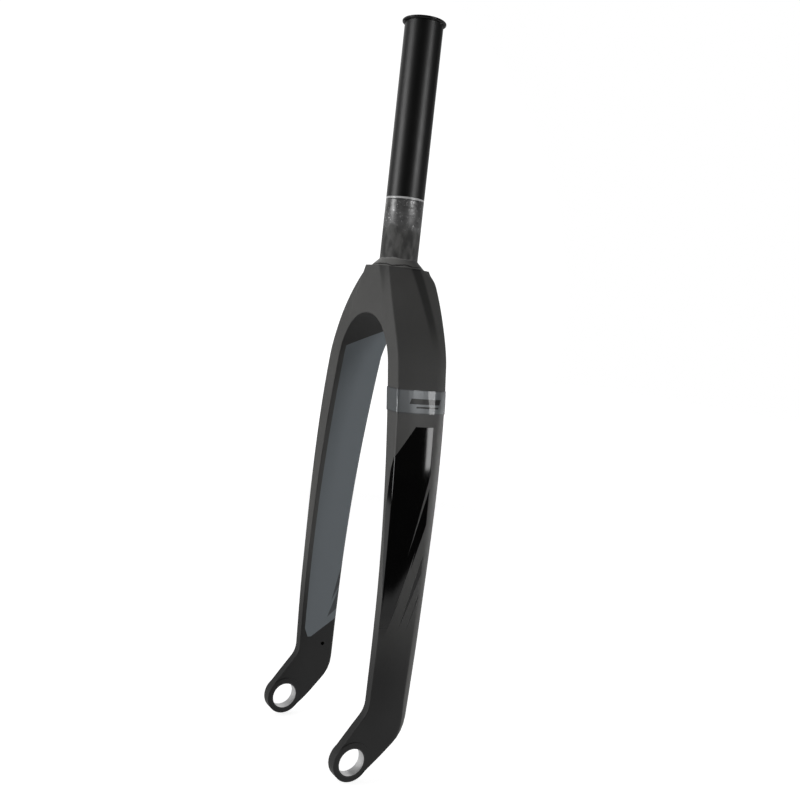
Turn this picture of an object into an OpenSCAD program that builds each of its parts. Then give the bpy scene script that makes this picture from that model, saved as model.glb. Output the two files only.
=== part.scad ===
// Rigid bicycle fork: one moulded body with a straight steerer, a crown race and two hollow
// blades, bonded axle inserts, a thin band round one blade and an expander plug in the steerer.
// The origin is on the steerer's axis, at the upper edge of the crown race. +Z runs up the
// steerer, -Y is the front of the bicycle and +X is the rider's left.

/* [Steerer] */
// Outside diameter of the steerer tube
steerer_d = 28.6; // [25.4:0.1:30]
// Bore of the steerer tube
steerer_bore_d = 23; // [20:0.1:24]
// Length of the steerer above the crown race
steerer_len = 172.5; // [120:0.5:220]

/* [Crown] */
// Diameter of the crown race's seat at the foot of its 45 degree cone
race_d = 40.4; // [36:0.1:41]
// Height from the race's upper edge down to the top of the arch
arch_drop = 41.5; // [38:0.5:50]
// Height from the race's upper edge down to the shoulders, where the arch turns into blades
shoulder_drop = 76.5; // [72:0.5:88]
// Gap between the blades at the shoulders
shoulder_gap = 76; // [68:1:84]
// Width of one blade at the shoulders, seen from the front
shoulder_w = 15.5; // [13:0.5:18]
// Depth of the crown from the steerer's axis to its front face
crown_front = 22.2; // [20:0.1:24]
// Depth of the crown from the steerer's axis to its rear face
crown_rear = 21.5; // [20:0.5:24]
// Setback of the crown's front corners at the race, which fades out down the shoulders
corner_lift = 13.5; // [8:0.5:15]

/* [Blades] */
// Height from the race's upper edge down to where the blades run straight
straight_drop = 262; // [240:1:276]
// Width of one blade at its front edge where it runs straight
blade_w = 8.2; // [7.5:0.1:11]
// Swell of the outer face over the front corner
blade_swell = 3.5; // [1:0.1:5]
// Depth of a blade from the steerer's axis to its front edge where it runs straight
blade_front = 21.5; // [18:0.1:22]
// Depth of a blade from the steerer's axis to its rear edge where it runs straight
blade_rear = 13.4; // [9:0.1:14]
// Width of the bevel along the blade's outer rear edge
rear_bevel = 4.5; // [3:0.5:6]
// Distance from the steerer's axis to the outer rear edge at the shoulders
shoulder_rear = 19.6; // [16:0.1:21]
// Setback of the inner rear edge from the outer one
rear_slant = 2; // [0.5:0.5:3]
// Distance by which a blade's inner face stands outside its dropout's
blade_clear = 1.6; // [0.8:0.1:2.4]
// Wall of the hollow blades and crown
wall = 2.6; // [2:0.1:3]

/* [Dropouts] */
// Gap between the dropouts' inner faces, which is the hub's width
hub_gap = 110; // [100:1:120]
// Thickness of a dropout's faced boss
boss_t = 8; // [7:0.5:10]
// Depth of the step round the faced boss, on either side
boss_step = 0.4; // [0.2:0.1:0.6]
// Diameter of the boss round the axle
eye_d = 29; // [27:0.5:32]
// Diameter of the axle
axle_d = 20; // [15:0.5:20]
// Wall of the axle insert
insert_wall = 1; // [0.6:0.1:1.5]
// Height from the race's upper edge down to the axle
axle_drop = 359.5; // [350:0.5:375]
// Distance of the axle ahead of the steerer's axis
rake = 30.6; // [26:0.1:34]
// Height of the front bend above the axle
front_bend = 36; // [32:1:42]
// Height of the rear bend above the axle
rear_bend = 16.5; // [12:0.5:22]
// Taper of a blade's rear edge from where it runs straight to the bend
bend_taper = 2; // [1:0.5:4]
// Diameter of the drain hole in each blade's inner face
drain_d = 3; // [2:0.5:4]
// Height of the drain hole above the axle
drain_height = 41; // [38:1:60]

/* [Band] */
// Height from the race's upper edge down to the band's upper edge
band_drop = 91.5; // [88:0.5:130]
// Height of the band
band_h = 16.3; // [8:0.1:24]
// Thickness of the band
band_t = 0.4; // [0.3:0.1:0.8]

/* [Expander plug] */
// Diameter of the cap on the steerer's end
cap_d = 32.5; // [31:0.5:36]
// Thickness of the cap
cap_t = 2; // [1.5:0.1:5]
// Depth of the spigot under the cap
spigot_h = 3; // [2:0.5:5]
// Diameter of the cap bolt's shank
cap_bolt_d = 6; // [5:0.5:7]
// Length of the cap bolt's shank
cap_bolt_len = 28; // [20:1:36]
// Diameter of the cap bolt's head
cap_head_d = 10; // [9:0.5:11]
// Height of the cap bolt's head
cap_head_h = 2.4; // [1.5:0.1:2.4]
// Width across flats of the cap bolt's socket
cap_hex = 5; // [4:0.5:6]
// Depth from the steerer's end to the top of the expander sleeve
sleeve_drop = 8; // [6:1:14]
// Length of the expander sleeve
sleeve_len = 36; // [30:1:50]
// Width of the slots in the sleeve
slot_w = 1.5; // [1:0.1:2.5]
// Diameter of the core bolt's shank
core_d = 10; // [9:0.5:12]
// Diameter of the core bolt's head
core_head_d = 16; // [14:0.5:17]
// Height of the core bolt's head
core_head_h = 5; // [4:0.5:7]
// Width across flats of the core bolt's socket
core_hex = 8; // [8:0.5:9]
// Height of the cone that the core bolt draws up
cone_h = 12; // [9:1:16]
// Clearance round the heads, the core bolt's shank and the spigot
plug_play = 0.2; // [0.1:0.05:0.4]

/* [Hidden] */
$fn = 96;

carbon = [0.24, 0.24, 0.235];
alloy = [0.72, 0.73, 0.75];
black_alloy = [0.10, 0.10, 0.11];
band_grey = [0.52, 0.54, 0.56];

// Derived heights and places. A point in the front view is [x, z], one in the side view [y, z].
race_h = (race_d - steerer_d) / 2;
crown_top = -race_h;
steerer_r = steerer_d / 2;
bore_r = steerer_bore_d / 2;
eye_r = eye_d / 2;
axle_at = [-rake, -axle_drop];
boss_mid = (hub_gap + boss_t) / 2;
insert_r = axle_d / 2 + insert_wall;
sleeve_top = steerer_len - sleeve_drop;
core_seat = sleeve_top - core_head_h - 0.5;
web_t = 4;
cone_taper = 0.2;
cone_top = sleeve_top - sleeve_len + 8;
cone_top_r = bore_r - 3;
tab_t = boss_t - 2 * boss_step;
tab_in = hub_gap / 2 + boss_step;
blade_in = tab_in + blade_clear;
blade_out = blade_in + blade_w;
shoulder_in = shoulder_gap / 2;
shoulder_out = shoulder_in + shoulder_w;

// Sideways run of the blades for each unit of height, at the shoulders
shoulder_lean = 0.2;

function mix(a, b, t) = a + (b - a) * t;
function ease(t) = t * t * (3 - 2 * t);
function within(t) = max(0, min(1, t));
function unit(v) = v / norm(v);
function quad(a, b, c, t) = mix(mix(a, b, t), mix(b, c, t), t);
function cubic(p, t) = mix(quad(p[0], p[1], p[2], t), quad(p[1], p[2], p[3], t), t);

// Front view: the arch and the inner edge of a blade, then the outer edge from over the crown
// down the shoulder and the blade. Each pair of curves meets at the shoulder in one direction.
arch_curve = [[0, -arch_drop],
              [0.56 * shoulder_in, -arch_drop],
              [shoulder_in, -shoulder_drop] + (shoulder_drop - arch_drop) * [-shoulder_lean, 1] / 2,
              [shoulder_in, -shoulder_drop]];
blade_run = straight_drop - shoulder_drop;
inner_curve = [[shoulder_in, -shoulder_drop],
               [shoulder_in, -shoulder_drop] + blade_run * [shoulder_lean, -1] / 3,
               [blade_in, -straight_drop + blade_run / 3],
               [blade_in, -straight_drop]];
crest = race_d / 3;
shoulder_curve = [[0, crown_top + crest],
                  [0.35 * race_d, crown_top + 0.8 * crest],
                  [shoulder_out, -shoulder_drop] + 25 * [-shoulder_lean, 1],
                  [shoulder_out, -shoulder_drop]];
outer_curve = [[shoulder_out, -shoulder_drop],
               [shoulder_out, -shoulder_drop] + blade_run * [shoulder_lean, -1] / 3,
               [blade_out, -straight_drop + blade_run / 3],
               [blade_out, -straight_drop]];

// Side view: each edge of the dropout runs straight, bends, and meets the eye as a tangent.
function tangent_pt(p, c, r, side) =
    let (d = p - c, turn = atan2(d.y, d.x) + side * acos(r / norm(d)))
    c + r * [cos(turn), sin(turn)];
front_start = [-blade_front, -straight_drop];
rear_start = [blade_rear, -straight_drop];
front_corner = [-blade_front + bend_taper / 4, axle_at.y + front_bend];
rear_corner = [blade_rear - bend_taper, axle_at.y + rear_bend];
front_end = tangent_pt(front_corner, axle_at, eye_r, 1);
rear_end = tangent_pt(rear_corner, axle_at, eye_r, -1);

// Shares of the dropout's run at which its bend starts and ends
bend_from = 0.45;
bend_to = 0.65;
function bent(a, k, b, reach, t) =
    let (p = k + unit(a - k) * reach, q = k + unit(b - k) * reach)
    t < bend_from ? mix(a, p, t / bend_from)
    : t < bend_to ? quad(p, k, q, (t - bend_from) / (bend_to - bend_from))
    : mix(q, b, (t - bend_to) / (1 - bend_to));

// A blade's run: 0 to 1 is half the crown, 1 to 2 the blade and 2 to 3 the dropout.
crown_steps = 30;
blade_steps = 14;
tab_steps = 20;
runs = [for (i = [0 : crown_steps - 1]) i / crown_steps,
        for (i = [0 : blade_steps - 1]) 1 + i / blade_steps,
        for (i = [0 : tab_steps]) 2 + i / tab_steps];
last_run = len(runs) - 1;

// Inner front corner, outer front corner, and the depth's direction and length at a run
function frame_at(g) =
    g < 2
    ? let (t = g < 1 ? g : g - 1,
           a = cubic(g < 1 ? arch_curve : inner_curve, t),
           b = cubic(g < 1 ? shoulder_curve : outer_curve, t),
           front = g < 1 ? crown_front : mix(crown_front, blade_front, ease(t)),
           rear = g < 1 ? cubic([crown_rear, crown_rear, shoulder_rear + 2, shoulder_rear], t)
                        : cubic([shoulder_rear, shoulder_rear - 1.8, blade_rear + 1.7, blade_rear], t))
      [[a.x, -front, a.y], [b.x, -front, b.y], [0, 1, 0], front + rear]
    : let (t = g - 2,
           f = bent(front_start, front_corner, front_end, 6, t),
           r = bent(rear_start, rear_corner, rear_end, 12, t),
           settle = ease(within(t / 0.7)),
           a = mix(blade_in, tab_in, settle),
           b = mix(blade_out, tab_in + tab_t, settle))
      [[a, f.x, f.y], [b, f.x, f.y], [0, r.x - f.x, r.y - f.y] / norm(r - f), norm(r - f)];

// Share of the rear bevel and of the rounding that a section keeps. Both fade out towards the
// eye, so that the dropout's edges run flush into the boss.
function softness(g) = 1 - 0.9 * ease(within((g - 2.5) / 0.3));

// The section's corners as [across, back], from the inner front corner round the outside.
// The flag leaves out the crease of the crown's front, which the hollow doesn't follow.
function corners(width, depth, g, crease = true) =
    let (tab = within((g - 2.35) / 0.4),
         lift = g < 0.75 ? corner_lift * pow(1 - g / 0.75, 2) : 0,
         strip = min(0.8, pow(g / 0.56, 1.7)),
         swell = blade_swell * (1 - ease(tab)),
         slant = rear_slant * (g < 1 ? 1.5 * ease(g)
                               : g < 2 ? mix(1.5, 1, g - 1) : 1 - ease(within((g - 2.6) / 0.3))),
         chamfer = 5 * ease(within((0.4 - g) / 0.16)),
         bevel_across = g < 1 ? mix(3.6, rear_bevel, ease(g)) + chamfer
                              : mix(rear_bevel, 1.2, ease(tab)) * softness(g),
         bevel_back = g < 1 ? mix(19, 9, ease(g))
                            : mix(9, mix(6, 2, ease(tab)) * softness(g), within(g - 1)))
    [[0, 0],
     if (crease) for (f = [0 : 0.25 : 0.75]) [width * (1 - strip * (1 - f)), lift * f],
     [width, lift],
     [width + 1.1 * swell, lift + 0.42 * (depth - bevel_back - lift)],
     [width + swell, depth - bevel_back],
     [width + swell - bevel_across, depth],
     [0, depth - slant]];

// Sets a convex outline in by a distance, or out by a negative one.
function inset(p, w) =
    [for (i = [0 : len(p) - 1])
        let (before = p[(i + len(p) - 1) % len(p)], after = p[(i + 1) % len(p)],
             e1 = unit(p[i] - before), e2 = unit(after - p[i]),
             n1 = [-e1.y, e1.x], n2 = [-e2.y, e2.x])
        p[i] + (n1 + n2) * w / (1 + n1 * n2)];

// Rounds each corner of an outline over its own setback, in steps. One with no steps stays.
function rounded(p, setbacks, steps) =
    [for (i = [0 : len(p) - 1])
        let (before = p[(i + len(p) - 1) % len(p)], after = p[(i + 1) % len(p)],
             s1 = min(setbacks[i], 0.45 * norm(before - p[i])),
             s2 = min(setbacks[i], 0.45 * norm(after - p[i])),
             a = p[i] + unit(before - p[i]) * s1, b = p[i] + unit(after - p[i]) * s2)
        for (k = [0 : steps[i]]) steps[i] == 0 ? p[i] : quad(a, p[i], b, k / steps[i])];

outside_setbacks = [1.2, 3, 0, 0, 0, 1.4, 14, 4, 2.5, 2];
outside_steps = [2, 2, 0, 0, 0, 3, 4, 3, 3, 2];
hollow_setbacks = [1, 1, 8, 3, 3, 1];
hollow_steps = [1, 1, 1, 1, 1, 1];

// One ring of points of the outer skin, grown by a distance, or of the hollow.
function ring(g, grow) =
    let (f = frame_at(g), across = unit(f[1] - f[0]), width = norm(f[1] - f[0]))
    [for (q = rounded(inset(corners(width, f[3], g), -grow),
                      outside_setbacks * softness(g), outside_steps))
        f[0] + across * q.x + f[2] * q.y];
function hollow_ring(g) =
    let (f = frame_at(g), across = unit(f[1] - f[0]), width = norm(f[1] - f[0]))
    [for (q = rounded(inset(corners(width, f[3], g, false), wall), hollow_setbacks, hollow_steps))
        f[0] + across * q.x + f[2] * q.y];
function mirrored(points) = [for (p = points) [-p.x, p.y, p.z]];

// A closed skin over a list of rings with as many points each.
module skin(rings) {
    m = len(rings[0]);
    n = len(rings);
    polyhedron(points = [for (r = rings) for (p = r) p],
        faces = [[for (j = [0 : m - 1]) m - 1 - j],
                 [for (j = [0 : m - 1]) (n - 1) * m + j],
                 for (i = [0 : n - 2]) for (j = [0 : m - 1])
                     let (a = i * m + j, b = i * m + (j + 1) % m)
                     each [[a, b + m, a + m], [a, b, b + m]]],
        convexity = 8);
}

// Rings from one blade's end over the crown to the other's
function both_sides(half) = concat([for (i = [len(half) - 1 : -1 : 1]) mirrored(half[i])], half);

module moulded_skin() {
    skin(both_sides([for (g = runs) ring(g, 0)]));
}

module hollow() {
    hollow_runs = [for (g = [0 : 0.125 : 2.4]) g];
    top_wall = 5;
    difference() {
        skin(both_sides([for (g = hollow_runs) hollow_ring(g)]));
        translate([-50, -50, crown_top - top_wall]) cube([100, 100, 60]);
    }
}

module across_x(r, from, to) {
    translate([from, axle_at.x, axle_at.y]) rotate([0, 90, 0]) cylinder(r = r, h = to - from);
}

module fork_body() {
    color(carbon) difference() {
        union() {
            difference() {
                moulded_skin();
                translate([-50, -50, crown_top]) cube([100, 100, 60]);
            }
            translate([0, 0, crown_top]) cylinder(r1 = race_d / 2, r2 = steerer_r, h = race_h);
            translate([0, 0, crown_top - race_h]) cylinder(r = steerer_r, h = steerer_len + 2 * race_h);
            across_x(eye_r, hub_gap / 2, hub_gap / 2 + boss_t);
            across_x(eye_r, -hub_gap / 2 - boss_t, -hub_gap / 2);
        }
        hollow();
        translate([0, 0, crown_top - 12]) cylinder(r = bore_r, h = steerer_len + 40);
        for (side = [-1, 1]) {
            across_x(insert_r, side * boss_mid - boss_t, side * boss_mid + boss_t);
            translate([side * (blade_in - 3), 0, axle_at.y + drain_height])
                rotate([0, side * 90, 0]) cylinder(d = drain_d, h = wall + 4.5);
        }
    }
}

module axle_insert(side) {
    from = side > 0 ? hub_gap / 2 : -hub_gap / 2 - boss_t;
    color(alloy) difference() {
        across_x(insert_r, from, from + boss_t);
        across_x(axle_d / 2, from - 1, from + boss_t + 1);
    }
}

module leg_band() {
    first = crown_steps - 1;
    last = crown_steps + 8;
    color(band_grey) difference() {
        intersection() {
            skin([for (i = [first : last]) ring(runs[i], band_t)]);
            translate([0, -50, -band_drop - band_h]) cube([100, 100, band_h]);
        }
        skin([for (i = [first - 1 : last + 1]) ring(runs[i], 0)]);
    }
}

// A hexagonal socket's prism, sunk from a height
module hex_socket(across_flats, top, depth) {
    translate([0, 0, top - depth]) cylinder(d = across_flats / cos(30), h = depth + 1, $fn = 6);
}

module top_cap() {
    edge = 0.6;
    r = cap_d / 2;
    spigot_r = bore_r - plug_play;
    color(black_alloy) translate([0, 0, steerer_len]) difference() {
        rotate_extrude() polygon([[0, -spigot_h], [spigot_r - edge, -spigot_h],
            [spigot_r, edge - spigot_h], [spigot_r, 0], [r - edge, 0],
            [r, edge], [r, cap_t - edge], [r - edge, cap_t], [0, cap_t]]);
        translate([0, 0, -cap_bolt_len]) cylinder(r = cap_bolt_d / 2 + plug_play, h = 2 * cap_bolt_len);
        translate([0, 0, cap_t - cap_head_h])
            cylinder(r = cap_head_d / 2 + plug_play, h = cap_head_h + 1);
    }
}

module cap_bolt() {
    seat = steerer_len + cap_t - cap_head_h;
    color(black_alloy) difference() {
        union() {
            translate([0, 0, seat]) cylinder(d = cap_head_d, h = cap_head_h);
            translate([0, 0, seat - cap_bolt_len]) cylinder(d = cap_bolt_d, h = cap_bolt_len + 1);
        }
        hex_socket(cap_hex, seat + cap_head_h, 0.8 * cap_head_h);
    }
}

module plug_sleeve() {
    slot_len = 0.7 * sleeve_len;
    bottom = sleeve_top - sleeve_len;
    color(alloy) difference() {
        translate([0, 0, bottom]) cylinder(r = bore_r, h = sleeve_len);
        translate([0, 0, core_seat]) cylinder(r = core_head_d / 2 + plug_play, h = sleeve_len);
        translate([0, 0, bottom - 1]) cylinder(r = core_d / 2 + plug_play, h = sleeve_len);
        translate([0, 0, bottom - 1]) cylinder(r = cone_top_r, h = core_seat - web_t - bottom + 1);
        cone_seat();
        for (turn = [0, 90])
            rotate([0, 0, turn])
                translate([-cap_d, -slot_w / 2, bottom - 1]) cube([2 * cap_d, slot_w, slot_len + 1]);
    }
}

// The tapered space below the sleeve's top that the cone fills, which runs on past its end
module cone_seat() {
    translate([0, 0, cone_top - cone_h])
        cylinder(r1 = cone_top_r + cone_h * cone_taper, r2 = cone_top_r, h = cone_h);
}

module plug_cone() {
    color(alloy) difference() {
        cone_seat();
        translate([0, 0, cone_top - cone_h - 1]) cylinder(d = core_d, h = cone_h + 2);
    }
}

module plug_core() {
    color(black_alloy) difference() {
        union() {
            translate([0, 0, core_seat]) cylinder(d = core_head_d, h = core_head_h);
            translate([0, 0, cone_top - cone_h])
                cylinder(d = core_d, h = core_seat - cone_top + cone_h + 1);
        }
        hex_socket(core_hex, core_seat + core_head_h, core_head_h);
        translate([0, 0, cone_top]) cylinder(d = cap_bolt_d, h = sleeve_len);
    }
}

fork_body();
axle_insert(1);  // axle_insert_left
axle_insert(-1);  // axle_insert_right
leg_band();
top_cap();
cap_bolt();
plug_sleeve();
plug_cone();
plug_core();
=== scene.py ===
# Finishes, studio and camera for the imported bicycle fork. The frame is in metres: the steerer
# stands on +Z, -Y is the fork's front and +X is the rider's left. Finishes measure in millimetres.
from math import cos, pi, radians, sin

import bmesh
import bpy
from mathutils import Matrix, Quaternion, Vector


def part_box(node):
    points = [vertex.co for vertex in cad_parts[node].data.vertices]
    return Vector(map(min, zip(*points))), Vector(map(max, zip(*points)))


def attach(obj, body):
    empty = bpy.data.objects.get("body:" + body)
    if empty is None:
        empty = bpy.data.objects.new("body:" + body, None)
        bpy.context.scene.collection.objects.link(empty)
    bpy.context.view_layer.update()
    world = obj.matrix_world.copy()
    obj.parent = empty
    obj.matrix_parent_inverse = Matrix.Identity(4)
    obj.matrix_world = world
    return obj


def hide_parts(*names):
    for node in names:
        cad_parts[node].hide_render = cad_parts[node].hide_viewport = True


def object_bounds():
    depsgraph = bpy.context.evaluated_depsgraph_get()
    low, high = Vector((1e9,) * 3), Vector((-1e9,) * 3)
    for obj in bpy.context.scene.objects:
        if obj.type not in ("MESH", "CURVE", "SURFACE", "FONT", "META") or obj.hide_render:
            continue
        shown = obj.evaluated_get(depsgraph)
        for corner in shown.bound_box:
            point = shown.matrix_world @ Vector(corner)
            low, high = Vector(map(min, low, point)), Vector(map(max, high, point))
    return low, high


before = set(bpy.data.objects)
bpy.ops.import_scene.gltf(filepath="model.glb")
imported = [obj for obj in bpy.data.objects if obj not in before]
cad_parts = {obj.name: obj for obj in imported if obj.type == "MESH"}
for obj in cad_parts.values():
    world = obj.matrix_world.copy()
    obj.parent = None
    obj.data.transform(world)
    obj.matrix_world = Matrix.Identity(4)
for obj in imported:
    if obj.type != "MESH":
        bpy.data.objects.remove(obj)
cad_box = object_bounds()

MM = 1000  # millimetres in a metre

# Sharper edges than this keep their crease, and nearer points than this are one, in metres
CREASE = radians(38)
WELD = 2e-6

# Heights on the fork, in millimetres, from the top down. The last is where the legs turn dark.
PAINT_EDGE = 45.6
LINE_WIDTH = 1.35  # of the pale line that ends the paint
LINE_FOOT = PAINT_EDGE - LINE_WIDTH
RUNS_TOP = PAINT_EDGE - 2
HAZE_TOP = 34.0  # of the hazy lower part of the varnish
VARNISH_FOOT = 24.0
TUBE_FOOT = 0.6
SEAM_HEIGHT = -4.6
SEAM_HALF = 0.45
CONE_FOOT = -5.9
SIDES_TOP = -20
# The painted shade on the crown's sides reaches up to this height
SIDE_SHADE_TOP = -40
# The painted shade in the streak down the crown's side reaches down to this height
SHADE_STREAK_FOOT = -54
CROWN_FOOT = -95
GLOSS_FOOT = -262
DARK_LEGS_TOP = -265

# Side views of the fields, as corners (y, z) in millimetres, anticlockwise. First come the slate
# panel inside each blade and the shards on it.
INNER_FIELD = [(-17.6, -304), (-14.5, -311.5), (-11.5, -311.5), (30, -284), (30, -44.5), (-17.6, -68.5)]
INNER_SHARDS = [
    [(2, -296), (14, -286), (14, -262)],
    [(4.5, -282), (14, -262), (14, -236)],
]

# The gloss black field outside each blade, the matt shards in it and the gloss shards behind it
GLOSS_FIELD = [(-36, -330), (6.4, -186), (6.4, -117), (-8.5, -117), (-36, -160.5)]
MATT_SHARDS = [
    [(-6, -206), (6.4, -160), (6.4, -150)],
    [(-12, -246), (-5, -229), (-1, -206)],
]
GLOSS_SHARDS = [
    [(-8, -262), (6.4, -222), (6.4, -208)],
    [(-3, -268), (6.4, -240), (6.4, -236)],
]

# The painted shade in a dark streak down the crown's side, ahead of its rear bevel, and the band's broad and
# fine line
REAR_SHADE_STREAK = [(6.2, -72), (11.2, -72), (9.6, -4), (0.5, -4)]
BAND_LINES = [
    [(-14, -101.2), (10.6, -101.2), (12, -97.4), (-12.6, -97.4)],
    [(-9, -104), (9.5, -104), (9.9, -102.8), (-8.6, -102.8)],
]

# Front view of the gloss that runs round onto the left blade's front, as corners (x, z)
FRONT_FIELD = [
    (57.8, -148.5), (56.8, -178), (60.6, -213), (66, -246), (80, -246), (80, -139), (60.4, -139),
]


def level(value, tint=(1.0, 1.0, 1.0)):
    """The colour that shows as a grey of 0 to 255, with a tint on it."""
    shown = [min(1.0, value / 255 * t) for t in tint]
    return tuple(s / 12.92 if s < 0.04045 else ((s + 0.055) / 1.055) ** 2.4 for s in shown) + (1.0,)


WARM = (1.0, 0.996, 0.98)
COOL = (0.95, 1.0, 1.035)
SLATE = (0.945, 1.0, 1.04)
SILVER = (0.97, 1.0, 1.02)

# Colours of the moulding
MATT_DARK = level(66, WARM)
MATT_PALE = level(76, WARM)
DROPOUT = level(16)
# Painted light on the rear-facing faces of the dark legs
LEG_REAR_LIGHT = level(88, WARM)
# Painted shade under the arch, on faces that look down
UNDERSIDE_SHADE = level(46, WARM)
# Painted shade on the crown's sides
CROWN_SIDE_SHADE = level(61, WARM)
# Painted shade in the streak down the crown's side
CROWN_SHADE_STREAK = level(40, WARM)
INNER_PANEL = level(117, SLATE)
INNER_SHARD = level(70, COOL)
GLOSS_BLACK = level(5)

# Colours of the cone, the bare tube and the steerer's paint
# Painted light on the cone's front and painted shade at its rear
CONE_FRONT_LIGHT = level(120, WARM)
CONE_REAR_SHADE = level(42, WARM)
CONE_SEAM = level(40, WARM)
TUBE_DARK = level(50, WARM)
TUBE_PALE = level(82, WARM)
VARNISH_DARK = level(40)
VARNISH_PALE = level(130)
FLECK = level(165)
PALE_LINE = level(180)
STEERER_BLACK = level(5, COOL)

# Colours of the axle liners and the band
BORE_DARK = level(205)
BORE_PALE = level(235)
LINER_END = level(50)
FILM_DARK = level(94, SILVER)
FILM_PALE = level(113, SILVER)
FILM_EDGE = level(76, SILVER)
FILM_LINE = level(12)

# Roughness of the coats, as a pair where it varies over a coat
SKIN_ROUGH = (0.5, 0.58)
CROWN_ROUGH = 0.7
GLOSS_ROUGH = 0.07
CONE_ROUGH = 0.5
TUBE_ROUGH = 0.72
HAZE_ROUGH = 0.5
VARNISH_ROUGH = (0.24, 0.4)
STEERER_ROUGH = (0.38, 0.45)
BORE_ROUGH = 0.45
LINER_END_ROUGH = 0.6
FILM_ROUGH = 0.38
FILM_COAT_ROUGH = 0.05

# Depths of the bumps, in millimetres
GRAIN_DEPTH = 0.04
RUNS_DEPTH = 0.45
SEAM_DEPTH = 0.25
TURNING_DEPTH = 0.02
FLAKE_DEPTH = 0.004
RING_DEPTH = 0.01

# Strength of the fine grain under gloss and under the steerer's paint, against 1 on the matt skin
GRAIN_UNDER_GLOSS = 0.05
GRAIN_UNDER_PAINT = 0.08


class Nodes:
    """Makes nodes in a tree. Each value is a number, a colour or the socket of another node."""

    def __init__(self, tree):
        self.tree = tree

    def node(self, kind, inputs=None, **settings):
        node = self.tree.nodes.new("ShaderNode" + kind)
        for key, value in settings.items():
            setattr(node, key, value)
        for key, value in (inputs or {}).items():
            self.join(node.inputs[key], value)
        return node

    def join(self, socket, value):
        if isinstance(value, bpy.types.NodeSocket):
            self.tree.links.new(value, socket)
        else:
            socket.default_value = value

    def math(self, operation, a, b=0.0, c=0.0):
        return self.node("Math", {0: a, 1: b, 2: c}, operation=operation).outputs[0]


class Finish(Nodes):
    """A material, measured in millimetres, that is built up coat over coat."""

    def __init__(self, name):
        self.material = bpy.data.materials.new(name)
        self.material.use_nodes = True
        super().__init__(self.material.node_tree)
        self.shader = self.tree.nodes["Principled BSDF"]
        place = self.node("TexCoord").outputs["Object"]
        self.place = self.node("VectorMath", {0: place, "Scale": MM}, operation="SCALE").outputs[0]
        self.x, self.y, self.z = self.node("SeparateXYZ", {"Vector": self.place}).outputs
        facing = self.node("NewGeometry").outputs["Normal"]
        self.facing_x, self.facing_y, self.facing_z = self.node("SeparateXYZ", {"Vector": facing}).outputs

    def product(self, *values):
        result = values[0]
        for value in values[1:]:
            result = self.math("MULTIPLY", result, value)
        return result

    def most(self, values):
        result = values[0]
        for value in values[1:]:
            result = self.math("MAXIMUM", result, value)
        return result

    def rest_of(self, share):
        return self.math("SUBTRACT", 1.0, share)

    def above(self, value, edge, blur):
        """0 below an edge and 1 above it, with a soft step."""
        ends = {"From Min": edge - blur / 2, "From Max": edge + blur / 2}
        ramp = self.node("MapRange", {"Value": value, **ends}, interpolation_type="SMOOTHSTEP")
        return ramp.outputs["Result"]

    def below(self, value, edge, blur):
        return self.rest_of(self.above(value, edge, blur))

    def wavy_height(self, wave, reach):
        """The height, with a wave of -0.5 to 0.5 on it that reaches so many millimetres."""
        return self.math("MULTIPLY_ADD", wave, reach, self.z)

    def mix(self, a, b, share):
        """A blend of two colours."""
        return self.node("Mix", {0: share, 6: a, 7: b}, data_type="RGBA").outputs[2]

    def between(self, a, b, share):
        """A blend of two numbers."""
        return self.node("Mix", {0: share, 2: a, 3: b}, data_type="FLOAT").outputs[0]

    def coat(self, share, colour=None, roughness=None):
        """Lays a colour, a roughness or both over the coats below, where the share is 1."""
        if colour is not None:
            self.colour = self.mix(self.colour, colour, share)
        if roughness is not None:
            self.roughness = self.between(self.roughness, roughness, share)

    def noise(self, size, detail=2.0, stretch=(1.0, 1.0, 1.0), offset=0.0):
        """Cloudy values round 0.5 with forms of a size in millimetres."""
        scale = tuple(1 / (size * s) for s in stretch)
        moved = {"Vector": self.place, "Scale": scale, "Location": (offset, offset, offset)}
        place = self.node("Mapping", moved).outputs[0]
        return self.node("TexNoise", {"Vector": place, "Scale": 1.0, "Detail": detail}).outputs[0]

    def inside(self, corners, blur=0.3, across=None):
        """1 inside a convex field of the side view, or of a view along another axis, and 0 outside."""
        across = self.y if across is None else across
        nearest = None
        for (u0, z0), (u1, z1) in zip(corners, corners[1:] + corners[:1]):
            run, rise = u1 - u0, z1 - z0
            length = (run * run + rise * rise) ** 0.5
            sideways = self.math("MULTIPLY_ADD", across, -rise / length, (u0 * rise - z0 * run) / length)
            distance = self.math("MULTIPLY_ADD", self.z, run / length, sideways)
            nearest = distance if nearest is None else self.math("MINIMUM", nearest, distance)
        return self.above(nearest, 0.0, blur)

    def bump(self, height, depth, before=None):
        """A surface normal for a height of 0 to 1 that stands for a depth in millimetres."""
        node = self.node("Bump", {"Height": height, "Strength": 1.0, "Distance": depth / MM})
        if before is not None:
            self.join(node.inputs["Normal"], before)
        return node.outputs["Normal"]

    def set(self, **inputs):
        """Sets the shader's inputs, as base_color for Base Color, and returns the material."""
        for key, value in inputs.items():
            self.join(self.shader.inputs[key.replace("_", " ").title()], value)
        return self.material


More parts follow.
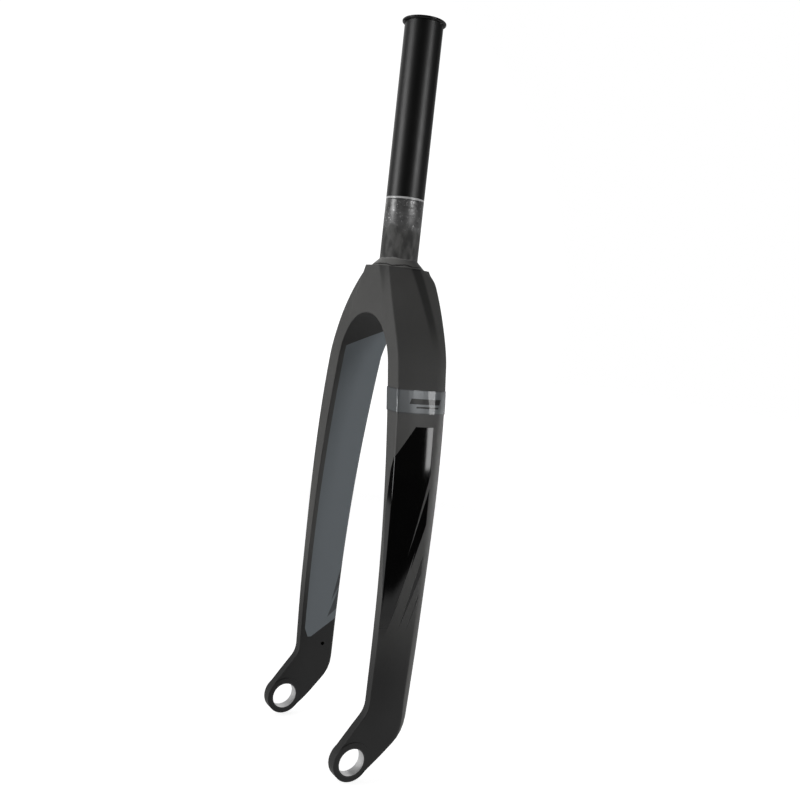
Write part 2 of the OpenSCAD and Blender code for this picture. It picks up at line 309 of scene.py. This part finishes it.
def lay_matt_skin(f, outward, outer):
    """The bare moulding: warm grey with painted shade on the crown's sides, under the arch and in a streak
    down the crown's side, and darker on the dropouts, with painted light on the legs' rear faces there.
    """
    cloud = f.noise(size=26, detail=3)
    f.colour = f.mix(MATT_DARK, MATT_PALE, cloud)
    f.roughness = f.between(*SKIN_ROUGH, cloud)
    crown = f.above(f.z, CROWN_FOOT, blur=20)
    f.coat(crown, roughness=CROWN_ROUGH)

    # The legs turn darker towards the dropouts, with painted light on their rear-facing faces
    rear = f.above(f.facing_y, 0.2, blur=0.1)
    f.coat(f.below(f.z, DARK_LEGS_TOP, blur=80), f.mix(DROPOUT, LEG_REAR_LIGHT, rear))
    # Painted shade on faces that look down, under the arch
    f.coat(f.below(f.facing_z, -0.3, blur=0.3), UNDERSIDE_SHADE)
    # Painted shade on the crown's sides
    f.coat(f.product(outer, crown, f.below(f.z, SIDE_SHADE_TOP, blur=36)), CROWN_SIDE_SHADE)
    # Painted shade in a streak ahead of the crown's rear bevel
    streak = f.product(outward, f.inside(REAR_SHADE_STREAK, blur=3), f.above(f.z, SHADE_STREAK_FOOT, blur=26))
    f.coat(streak, CROWN_SHADE_STREAK)


def lay_painted_fields(f, sideways, outer, inner):
    """Slate panels inside the blades and gloss black outside them. Returns the gloss's share."""
    panel = f.product(inner, f.inside(INNER_FIELD))
    f.coat(panel, INNER_PANEL)
    f.coat(f.product(panel, f.most([f.inside(shard) for shard in INNER_SHARDS])), INNER_SHARD)

    front = f.product(f.above(sideways, -12, blur=1), f.inside(FRONT_FIELD, blur=0.8, across=f.x))
    fields = f.most([f.inside(field) for field in GLOSS_SHARDS + [GLOSS_FIELD]])
    shards = f.most([f.inside(shard) for shard in MATT_SHARDS])
    foot = f.above(f.z, GLOSS_FOOT, blur=24)
    gloss = f.product(f.most([outer, front]), fields, f.rest_of(shards), foot)
    f.coat(gloss, GLOSS_BLACK, roughness=GLOSS_ROUGH)
    return gloss


def lay_cone(f, wave):
    """The crown race's cone: a resin skin with painted light on its front and painted shade at its rear, and
    an uneven dark seam at its foot. Returns the seam's share."""
    cone = f.above(f.z, CONE_FOOT, blur=0.3)
    # Painted light on the faces that look forward, painted shade on the rest
    front = f.below(f.facing_y, 0.0, blur=1.2)
    f.coat(cone, f.mix(CONE_REAR_SHADE, CONE_FRONT_LIGHT, front), roughness=CONE_ROUGH)
    seam_height = f.math("MULTIPLY_ADD", wave, 3.0, SEAM_HEIGHT)
    seam_distance = f.math("ABSOLUTE", f.math("SUBTRACT", f.z, seam_height))
    seam = f.product(cone, f.below(seam_distance, SEAM_HALF, blur=0.5))
    f.coat(seam, CONE_SEAM)
    return seam


def lay_bare_tube(f, wave):
    """The bare tube: smudged above the cone and varnished up to the paint's edge, with pale
    flecks. Returns the varnish's share."""
    tube = f.above(f.wavy_height(wave, 3.5), TUBE_FOOT, blur=0.6)
    patch = f.above(f.noise(size=6, detail=3, stretch=(1, 1, 2), offset=21), 0.5, blur=0.3)
    f.coat(tube, f.mix(TUBE_DARK, TUBE_PALE, patch), roughness=TUBE_ROUGH)

    varnish = f.above(f.wavy_height(wave, 24), VARNISH_FOOT, blur=8)
    clear = f.above(f.wavy_height(wave, 12), HAZE_TOP, blur=12)
    shine = f.between(*VARNISH_ROUGH, f.noise(size=2.6, detail=4, offset=7))
    smudge = f.mix(VARNISH_DARK, VARNISH_PALE, f.noise(size=5, detail=4, offset=5))
    f.coat(varnish, smudge, roughness=f.between(HAZE_ROUGH, shine, clear))
    fleck = f.above(f.noise(size=1.7, detail=4, offset=13), 0.65, blur=0.08)
    f.coat(f.product(varnish, fleck), FLECK)
    return varnish


def lay_steerer_paint(f, wave):
    """The steerer's black paint, which ends in a pale line. Returns the black's share."""
    height = f.wavy_height(wave, 0.35)
    f.coat(f.above(height, LINE_FOOT, blur=0.3), PALE_LINE)
    black = f.above(height, PAINT_EDGE, blur=0.25)
    f.coat(black, STEERER_BLACK, roughness=f.between(*STEERER_ROUGH, f.noise(size=9, detail=3)))
    return black


def moulded_finish():
    """The fork's moulding, from the black steerer down to the dropouts."""
    f = Finish("moulded_composite")
    wave = f.math("SUBTRACT", f.noise(size=7, offset=3), 0.5)

    # Steep faces that look away from the wheel, on the whole fork and below the crown's top, and
    # those that look towards it
    sideways = f.math("MULTIPLY", f.x, f.facing_x)
    steepness = f.math("ABSOLUTE", f.facing_x)
    outward = f.product(f.above(sideways, 0.0, blur=0.02), f.above(steepness, 0.35, blur=0.1))
    outer = f.product(outward, f.below(f.z, SIDES_TOP, blur=2))
    inner = f.product(f.below(sideways, 0.0, blur=0.02), f.above(steepness, 0.6, blur=0.1))

    lay_matt_skin(f, outward, outer)
    gloss = lay_painted_fields(f, sideways, outer, inner)
    seam = lay_cone(f, wave)
    varnish = lay_bare_tube(f, wave)
    black = lay_steerer_paint(f, wave)
    metallic = f.product(varnish, 0.6, f.below(f.z, LINE_FOOT, blur=0.3))

    # Fine grain, then runs in the varnish, then the step at the seam
    grain = f.between(f.between(1.0, GRAIN_UNDER_GLOSS, gloss), GRAIN_UNDER_PAINT, black)
    normal = f.bump(f.product(f.noise(size=0.7), grain), GRAIN_DEPTH)
    runs = f.noise(size=4, detail=3, stretch=(2.5, 2.5, 0.6), offset=11)
    runs = f.product(runs, f.product(varnish, f.below(f.z, RUNS_TOP, blur=1)))
    normal = f.bump(runs, RUNS_DEPTH, normal)
    normal = f.bump(f.rest_of(seam), SEAM_DEPTH, normal)
    return f.set(base_color=f.colour, metallic=metallic, roughness=f.roughness, normal=normal)


def liner_finish():
    """Axle liners: bare turned bores, and end faces under the fork's black paint."""
    f = Finish("axle_liner")
    end = f.above(f.math("ABSOLUTE", f.facing_x), 0.7, blur=0.1)
    turned = f.noise(size=0.35, detail=1, stretch=(1, 400, 400))
    f.colour = f.mix(BORE_DARK, BORE_PALE, turned)
    f.roughness = BORE_ROUGH
    f.coat(end, LINER_END, roughness=LINER_END_ROUGH)
    normal = f.bump(f.product(turned, f.rest_of(end)), TURNING_DEPTH)
    metallic = f.between(0.9, 0.0, end)
    return f.set(base_color=f.colour, metallic=metallic, roughness=f.roughness, normal=normal)


def band_finish():
    """The band: silver grey film under gloss, with a broad and a fine black line."""
    f = Finish("silver_film")
    low, high = (corner.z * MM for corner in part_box("leg_band"))
    flake = f.noise(size=0.25, detail=1)
    f.colour = f.mix(FILM_DARK, FILM_PALE, flake)
    edge = f.most([f.below(f.z, low + 0.5, blur=0.4), f.above(f.z, high - 0.5, blur=0.4)])
    f.coat(edge, FILM_EDGE)
    lines = f.most([f.inside(line, blur=0.15) for line in BAND_LINES])
    f.coat(f.product(lines, f.above(f.facing_x, 0.5, blur=0.1)), FILM_LINE)
    return f.set(base_color=f.colour, metallic=0.35, roughness=FILM_ROUGH, normal=f.bump(flake, FLAKE_DEPTH),
                 coat_weight=0.7, coat_roughness=FILM_COAT_ROUGH)


def metal_finish(name, shade, metallic, roughness):
    """Turned or anodised metal, with fine rings round the steerer's axis."""
    f = Finish(name)
    rings = f.noise(size=0.4, stretch=(40, 40, 1))
    worn = f.noise(size=5, detail=3)
    f.colour = f.mix(level(shade * 0.9), level(shade * 1.1), worn)
    f.roughness = f.between(roughness * 0.8, roughness * 1.2, worn)
    normal = f.bump(rings, RING_DEPTH)
    return f.set(base_color=f.colour, metallic=metallic, roughness=f.roughness, normal=normal)


def dress(piece, material):
    piece.data.materials.clear()
    piece.data.materials.append(material)


def smooth_copy(node):
    """A piece with a faceted node's form, shaded as the smooth skin that its facets stand for."""
    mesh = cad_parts[node].data.copy()
    form = bmesh.new()
    form.from_mesh(mesh)
    bmesh.ops.remove_doubles(form, verts=form.verts, dist=WELD)
    for face in form.faces:
        face.smooth = True
    for edge in form.edges:
        edge.smooth = edge.calc_face_angle(pi) < CREASE
    form.to_mesh(mesh)
    form.free()
    piece = bpy.data.objects.new(node + "_skin", mesh)
    bpy.context.scene.collection.objects.link(piece)
    piece.modifiers.new("level_flats", "WEIGHTED_NORMAL").keep_sharp = True
    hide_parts(node)
    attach(piece, "root")
    return piece


dress(smooth_copy("fork_body"), moulded_finish())
dress(smooth_copy("leg_band"), band_finish())

liner = liner_finish()
anodised = metal_finish("black_anodised_cap", shade=22, metallic=0.5, roughness=0.3)
steel = metal_finish("black_steel", shade=40, metallic=0.6, roughness=0.35)
alloy = metal_finish("plug_alloy", shade=190, metallic=1.0, roughness=0.32)
finishes = {
    "axle_insert_left": liner,
    "axle_insert_right": liner,
    "top_cap": anodised,
    "cap_bolt": steel,
    "plug_core": steel,
    "plug_sleeve": alloy,
    "plug_cone": alloy,
}
for node, finish in finishes.items():
    dress(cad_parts[node], finish)


# Camera: its place and the point that it looks at in metres, its roll in degrees, and its lens and
# sensor in millimetres
CAMERA_AT = Vector((0.6059, -0.3556, -0.0410))
LOOK_AT = Vector((0.0066, 0.0108, -0.1046))
ROLL = 6.326
LENS = 41.69
SENSOR = 36

lens = bpy.data.cameras.new("camera")
lens.lens = LENS
lens.sensor_width = SENSOR
camera = bpy.data.objects.new("camera", lens)
camera.location = CAMERA_AT
camera.rotation_mode = "QUATERNION"
aim = (LOOK_AT - CAMERA_AT).to_track_quat("-Z", "Y")
camera.rotation_quaternion = aim @ Quaternion((0, 0, 1), radians(ROLL))
bpy.context.scene.collection.objects.link(camera)
bpy.context.scene.camera = camera


# Studio: a pale floor, a soft key light ahead of the fork, two strip lights at its left, where one
# shines on the blade and one on the steerer, and a low light behind it. All of it is in metres.
LAMP_DISTANCE = 1.2
FLOOR_SIZE = 8
FLOOR_GAP = 0.002
FLOOR_COLOUR = level(235)
WHITE = (1.0, 1.0, 1.0, 1.0)

# The table that reflections show in the floor's place, and how brightly it and the rest glow there
TABLE_CENTRE = (-0.345, 0.29, 0.0)
TABLE_RADIUS = 0.905
TABLE_RIM = 0.05
TABLE_GLOW = 0.58
REST_GLOW = 0.02

# What the camera sees added to the lit floor, which grows between two distances from that centre
LIFT_FROM = 0.55
LIFT_TO = 1.15
NEAR_LIFT = 0.72
FAR_LIFT = 1.0

# The backdrop: its direction, how strongly and how far round it shines, and how fast it fades
BACKDROP_AZIMUTH = 162
BACKDROP_LIGHT = 0.95
BACKDROP_REACH = 0.08
BACKDROP_FADE = 3.0
ROOM = 0.13
ROOM_IN_REFLECTIONS = 0.03


def softbox(name, azimuth, low, high, width, power):
    """An upright area light that faces the steerer's axis, from one height to another."""
    lamp = bpy.data.lights.new(name, "AREA")
    lamp.shape = "RECTANGLE"
    lamp.size = width
    lamp.size_y = high - low
    lamp.energy = power
    light = bpy.data.objects.new(name, lamp)
    turn = radians(azimuth)
    light.location = (LAMP_DISTANCE * cos(turn), LAMP_DISTANCE * sin(turn), (low + high) / 2)
    light.rotation_euler = Vector((-cos(turn), -sin(turn), 0)).to_track_quat("-Z", "Y").to_euler()
    bpy.context.scene.collection.objects.link(light)


def studio_world():
    """White to the camera and through glass. Light and reflections come from a white backdrop
    behind the fork, which fades into a dim room; the room is dimmer still in reflections."""
    world = bpy.data.worlds.new("studio")
    world.use_nodes = True
    sky = Nodes(world.node_tree)
    background = sky.tree.nodes["Background"]
    direction = sky.node("TexCoord").outputs["Generated"]
    turn = radians(BACKDROP_AZIMUTH)
    towards = sky.node("VectorMath", {0: direction, 1: (cos(turn), sin(turn), 0.0)}, operation="DOT_PRODUCT")
    nearness = sky.math("MULTIPLY_ADD", towards.outputs["Value"], BACKDROP_LIGHT, BACKDROP_REACH)
    backdrop = sky.math("POWER", sky.math("MAXIMUM", nearness, 0.0), BACKDROP_FADE)
    ray = sky.node("LightPath").outputs
    room = sky.math("MULTIPLY_ADD", ray["Is Glossy Ray"], ROOM_IN_REFLECTIONS - ROOM, ROOM)
    seen = sky.math("MAXIMUM", ray["Is Camera Ray"], ray["Is Transmission Ray"])
    sky.join(background.inputs["Strength"], sky.math("MAXIMUM", seen, sky.math("ADD", room, backdrop)))
    sky.join(background.inputs["Color"], WHITE)
    bpy.context.scene.world = world


def floor_finish():
    """A pale floor that is white to the camera outside the fork's shadow, also where it runs out
    of the lamps' reach. In reflections it is a white table that ends a little way from the fork."""
    material = bpy.data.materials.new("studio_floor")
    material.use_nodes = True
    ground = Nodes(material.node_tree)
    ground.tree.nodes.clear()
    ray = ground.node("LightPath").outputs
    place = ground.node("TexCoord").outputs["Object"]
    reach = ground.node("VectorMath", {0: place, 1: TABLE_CENTRE}, operation="DISTANCE").outputs["Value"]

    def by_distance(near, far, near_value, far_value):
        ends = {"From Min": near, "From Max": far, "To Min": near_value, "To Max": far_value}
        return ground.node("MapRange", {"Value": reach, **ends}).outputs["Result"]

    def glow(strength):
        return ground.node("Emission", {"Color": WHITE, "Strength": strength}).outputs[0]

    paper = ground.node("BsdfDiffuse", {"Color": FLOOR_COLOUR}).outputs[0]
    seen = ground.math("MAXIMUM", ray["Is Camera Ray"], ray["Is Transmission Ray"])
    lift = glow(ground.math("MULTIPLY", seen, by_distance(LIFT_FROM, LIFT_TO, NEAR_LIFT, FAR_LIFT)))
    lit = ground.node("AddShader", {0: paper, 1: lift}).outputs[0]
    table = glow(by_distance(TABLE_RADIUS, TABLE_RADIUS + TABLE_RIM, TABLE_GLOW, REST_GLOW))
    shown = ground.node("MixShader", {0: ray["Is Glossy Ray"], 1: lit, 2: table}).outputs[0]
    ground.node("OutputMaterial", {"Surface": shown})
    return material


softbox("key", azimuth=-102, low=-0.6, high=0.55, width=0.5, power=11.6)
softbox("low_strip", azimuth=35.4, low=-0.195, high=0.14, width=0.08, power=0.56)
softbox("high_strip", azimuth=19, low=0.17, high=0.43, width=0.28, power=4.5)
softbox("rear", azimuth=88, low=-0.37, high=-0.15, width=0.35, power=2.6)
studio_world()

bpy.ops.mesh.primitive_plane_add(size=FLOOR_SIZE, location=(0, 0, cad_box[0].z - FLOOR_GAP))
floor = bpy.context.object
floor.name = "floor"
floor.data.materials.append(floor_finish())

bpy.context.scene.view_settings.view_transform = "Standard"
